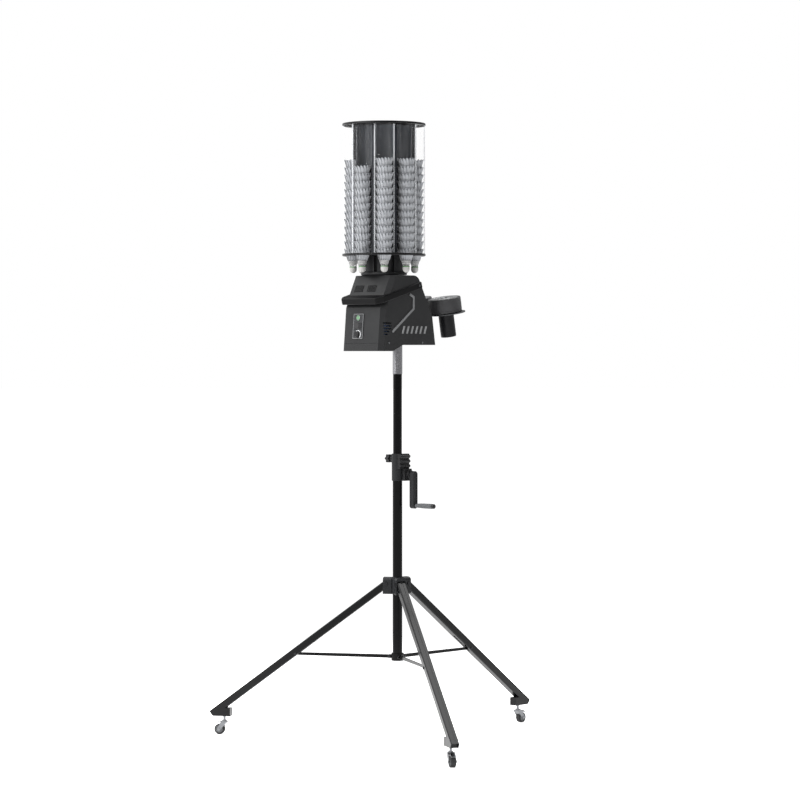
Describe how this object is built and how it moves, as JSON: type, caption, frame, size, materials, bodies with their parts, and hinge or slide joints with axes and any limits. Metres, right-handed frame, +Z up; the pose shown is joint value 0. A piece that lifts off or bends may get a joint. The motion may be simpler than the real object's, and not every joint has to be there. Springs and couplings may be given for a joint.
{
  "type": "shuttlecock launching machine",
  "caption": "Badminton shuttlecock launcher: twin-wheel head with a clear carousel magazine, on a crank-up mast with folding tripod legs and casters.",
  "frame": {"origin": "on the floor, on the mast's axis", "axes": "+Z up along the mast, +X the way shuttlecocks are launched, +Y to the machine's left; the control face looks along -X"},
  "size_m": [1.071, 1.2354, 2.214],
  "materials": {
    "stand_black": "gloss",
    "cast_grey": "satin",
    "zinc_steel": "satin",
    "post_silver": "satin",
    "rack_steel": "satin",
    "winch_black": "satin",
    "grip_grey": "satin",
    "caster_grey": "satin",
    "tyre_black": "matt",
    "shell_grey": "satin",
    "rim_black": "satin",
    "panel_grey": "satin",
    "button_green": "gloss",
    "switch_black": "gloss",
    "drum_rubber": "satin",
    "motor_black": "satin",
    "bracket_steel": "satin",
    "core_black": "satin",
    "plate_black": "satin",
    "tube_clear": "gloss",
    "feather_white": "matt",
    "gear_white": "satin",
    "battery_blue": "satin",
    "board_green": "satin"
  },
  "bodies": {
    "mast": {"outer_mast": "stand_black", "mast_hub": "stand_black", "hub_pins": "zinc_steel", "winch_housing": "cast_grey", "winch_cover": "winch_black"},
    "collar": {"leg_collar": "cast_grey", "collar_pins": "zinc_steel"},
    "leg_front": {"leg_front": "stand_black", "leg_rivets_front": "zinc_steel"},
    "brace_front": {"brace_front": "stand_black"},
    "caster_front": {"caster_fork_front": "zinc_steel"},
    "caster_wheel_front": {"caster_wheel_front": "caster_grey", "caster_tyre_front": "tyre_black"},
    "leg_left": {"leg_left": "stand_black", "leg_rivets_left": "zinc_steel"},
    "brace_left": {"brace_left": "stand_black"},
    "caster_left": {"caster_fork_left": "zinc_steel"},
    "caster_wheel_left": {"caster_wheel_left": "caster_grey", "caster_tyre_left": "tyre_black"},
    "leg_right": {"leg_right": "stand_black", "leg_rivets_right": "zinc_steel"},
    "brace_right": {"brace_right": "stand_black"},
    "caster_right": {"caster_fork_right": "zinc_steel"},
    "caster_wheel_right": {"caster_wheel_right": "caster_grey", "caster_tyre_right": "tyre_black"},
    "lift": {"inner_mast": "stand_black", "lift_rack": "rack_steel"},
    "crank": {"crank_shaft": "zinc_steel", "crank_arm": "cast_grey"},
    "crank_grip": {"crank_grip": "grip_grey"},
    "lock_knob": {"lock_knob": "winch_black"},
    "head": {"head_post": "post_silver", "chassis": "bracket_steel", "carousel_spindle": "zinc_steel", "carousel_motor": "motor_black", "battery_pack": "battery_blue", "control_board": "board_green", "body_shell": "shell_grey", "hood": "shell_grey", "bumper_rim": "rim_black", "shell_screws": "zinc_steel", "control_panel": "panel_grey", "launcher_mount": "bracket_steel"},
    "power_button": {"power_button": "button_green"},
    "rocker_switch": {"rocker_switch": "switch_black"},
    "speed_dial": {"speed_dial": "switch_black"},
    "launcher": {"launch_bracket": "bracket_steel", "launch_motors": "motor_black"},
    "launch_wheel_left": {"launch_wheel_left": "drum_rubber"},
    "launch_wheel_right": {"launch_wheel_right": "drum_rubber"},
    "feed_pusher": {"feed_pusher": "gear_white"},
    "carousel": {"hub_column": "shell_grey", "carousel_gear": "gear_white", "magazine_base_plate": "plate_black", "magazine_core": "core_black", "magazine_tubes": "tube_clear", "magazine_top_plate": "plate_black", "shuttle_stacks": "feather_white"},
    "carousel_pinion": {"carousel_pinion": "gear_white"}
  },
  "joints": [
    {"name": "leg_collar_slide", "type": "slide", "parent": "mast", "child": "collar", "axis": [0, 0, 1], "range_m": [0, 0.24]},
    {"name": "leg_front_fold", "type": "hinge", "parent": "collar", "child": "leg_front", "pos_m": [0.038, 0, 0.5636], "axis": [0, 1, 0], "range_deg": [0, 10.33]},
    {"name": "brace_front_fold", "type": "hinge", "parent": "mast", "child": "brace_front", "pos_m": [0.03, 0, 0.302], "axis": [0, -1, 0], "range_deg": [0, 31.81]},
    {"name": "caster_front_swivel", "type": "hinge", "parent": "leg_front", "child": "caster_front", "pos_m": [0.652, 0, 0.05], "axis": [0, 0, 1], "continuous": true},
    {"name": "caster_front_roll", "type": "hinge", "parent": "caster_front", "child": "caster_wheel_front", "pos_m": [0.6696, 0, 0.019], "axis": [0, 1, 0], "continuous": true},
    {"name": "leg_left_fold", "type": "hinge", "parent": "collar", "child": "leg_left", "pos_m": [-0.019, 0.03291, 0.5636], "axis": [-0.866, -0.5, 0], "range_deg": [0, 10.33]},
    {"name": "brace_left_fold", "type": "hinge", "parent": "mast", "child": "brace_left", "pos_m": [-0.015, 0.02598, 0.302], "axis": [0.866, 0.5, 0], "range_deg": [0, 31.81]},
    {"name": "caster_left_swivel", "type": "hinge", "parent": "leg_left", "child": "caster_left", "pos_m": [-0.326, 0.56465, 0.05], "axis": [0, 0, 1], "continuous": true},
    {"name": "caster_left_roll", "type": "hinge", "parent": "caster_left", "child": "caster_wheel_left", "pos_m": [-0.3348, 0.57989, 0.019], "axis": [-0.866, -0.5, 0], "continuous": true},
    {"name": "leg_right_fold", "type": "hinge", "parent": "collar", "child": "leg_right", "pos_m": [-0.019, -0.03291, 0.5636], "axis": [0.866, -0.5, 0], "range_deg": [0, 10.33]},
    {"name": "brace_right_fold", "type": "hinge", "parent": "mast", "child": "brace_right", "pos_m": [-0.015, -0.02598, 0.302], "axis": [-0.866, 0.5, 0], "range_deg": [0, 31.81]},
    {"name": "caster_right_swivel", "type": "hinge", "parent": "leg_right", "child": "caster_right", "pos_m": [-0.326, -0.56465, 0.05], "axis": [0, 0, 1], "continuous": true},
    {"name": "caster_right_roll", "type": "hinge", "parent": "caster_right", "child": "caster_wheel_right", "pos_m": [-0.3348, -0.57989, 0.019], "axis": [0.866, -0.5, 0], "continuous": true},
    {"name": "mast_lift", "type": "slide", "parent": "mast", "child": "lift", "axis": [0, 0, 1], "range_m": [-0.27, 0.3]},
    {"name": "crank_turn", "type": "hinge", "parent": "mast", "child": "crank", "pos_m": [0.0235, -0.03, 0.958], "axis": [0, 1, 0], "range_deg": [-1721, 1912]},
    {"name": "crank_grip_spin", "type": "hinge", "parent": "crank", "child": "crank_grip", "pos_m": [0.0235, -0.11, 0.846], "axis": [0, 1, 0], "continuous": true},
    {"name": "lock_knob_turn", "type": "hinge", "parent": "mast", "child": "lock_knob", "pos_m": [0, 0.04, 1.013], "axis": [0, 1, 0], "range_deg": [0, 540]},
    {"name": "head_pan", "type": "hinge", "parent": "lift", "child": "head", "pos_m": [0, 0, 1.36], "axis": [0, 0, 1], "range_deg": [-170, 170]},
    {"name": "carousel_turn", "type": "hinge", "parent": "head", "child": "carousel", "pos_m": [-0.07, 0, 1.7], "axis": [0, 0, 1], "continuous": true},
    {"name": "carousel_drive", "type": "hinge", "parent": "head", "child": "carousel_pinion", "pos_m": [-0.07, 0.057, 1.646], "axis": [0, 0, 1], "continuous": true},
    {"name": "power_button_press", "type": "slide", "parent": "head", "child": "power_button", "axis": [0.9965, 0, -0.0836], "range_m": [0, 0.0018], "stiffness_N_per_m": 500},
    {"name": "rocker_switch_rock", "type": "hinge", "parent": "head", "child": "rocker_switch", "pos_m": [-0.17552, 0.017, 1.48899], "axis": [0.0836, 0, 0.9965], "range_deg": [-14, 0]},
    {"name": "speed_dial_turn", "type": "hinge", "parent": "head", "child": "speed_dial", "pos_m": [-0.18404, 0.017, 1.4591], "axis": [-0.9965, 0, 0.0836], "range_deg": [-270, 0]},
    {"name": "launcher_tilt", "type": "hinge", "parent": "head", "child": "launcher", "pos_m": [0.08997, 0, 1.54604], "axis": [0, -1, 0], "range_deg": [-15, 25]},
    {"name": "launch_wheel_left_spin", "type": "hinge", "parent": "launcher", "child": "launch_wheel_left", "pos_m": [0.1732, 0.0715, 1.5664], "axis": [-0.1736, 0, 0.9848], "continuous": true},
    {"name": "launch_wheel_right_spin", "type": "hinge", "parent": "launcher", "child": "launch_wheel_right", "pos_m": [0.1732, -0.0715, 1.5664], "axis": [-0.1736, 0, 0.9848], "continuous": true},
    {"name": "feed_push", "type": "slide", "parent": "launcher", "child": "feed_pusher", "axis": [0.9848, 0, 0.1736], "range_m": [0, 0.04]}
  ],
  "couplings": [
    {"joint": "leg_front_fold", "follows": "leg_collar_slide", "rad_per_m": 0.74785},
    {"joint": "brace_front_fold", "follows": "leg_collar_slide", "rad_per_m": 2.3094},
    {"joint": "leg_left_fold", "follows": "leg_collar_slide", "rad_per_m": 0.74785},
    {"joint": "brace_left_fold", "follows": "leg_collar_slide", "rad_per_m": 2.3094},
    {"joint": "leg_right_fold", "follows": "leg_collar_slide", "rad_per_m": 0.74785},
    {"joint": "brace_right_fold", "follows": "leg_collar_slide", "rad_per_m": 2.3094},
    {"joint": "crank_turn", "follows": "mast_lift", "rad_per_m": 111.11},
    {"joint": "carousel_drive", "follows": "carousel_turn", "ratio": -3.75}
  ]
}
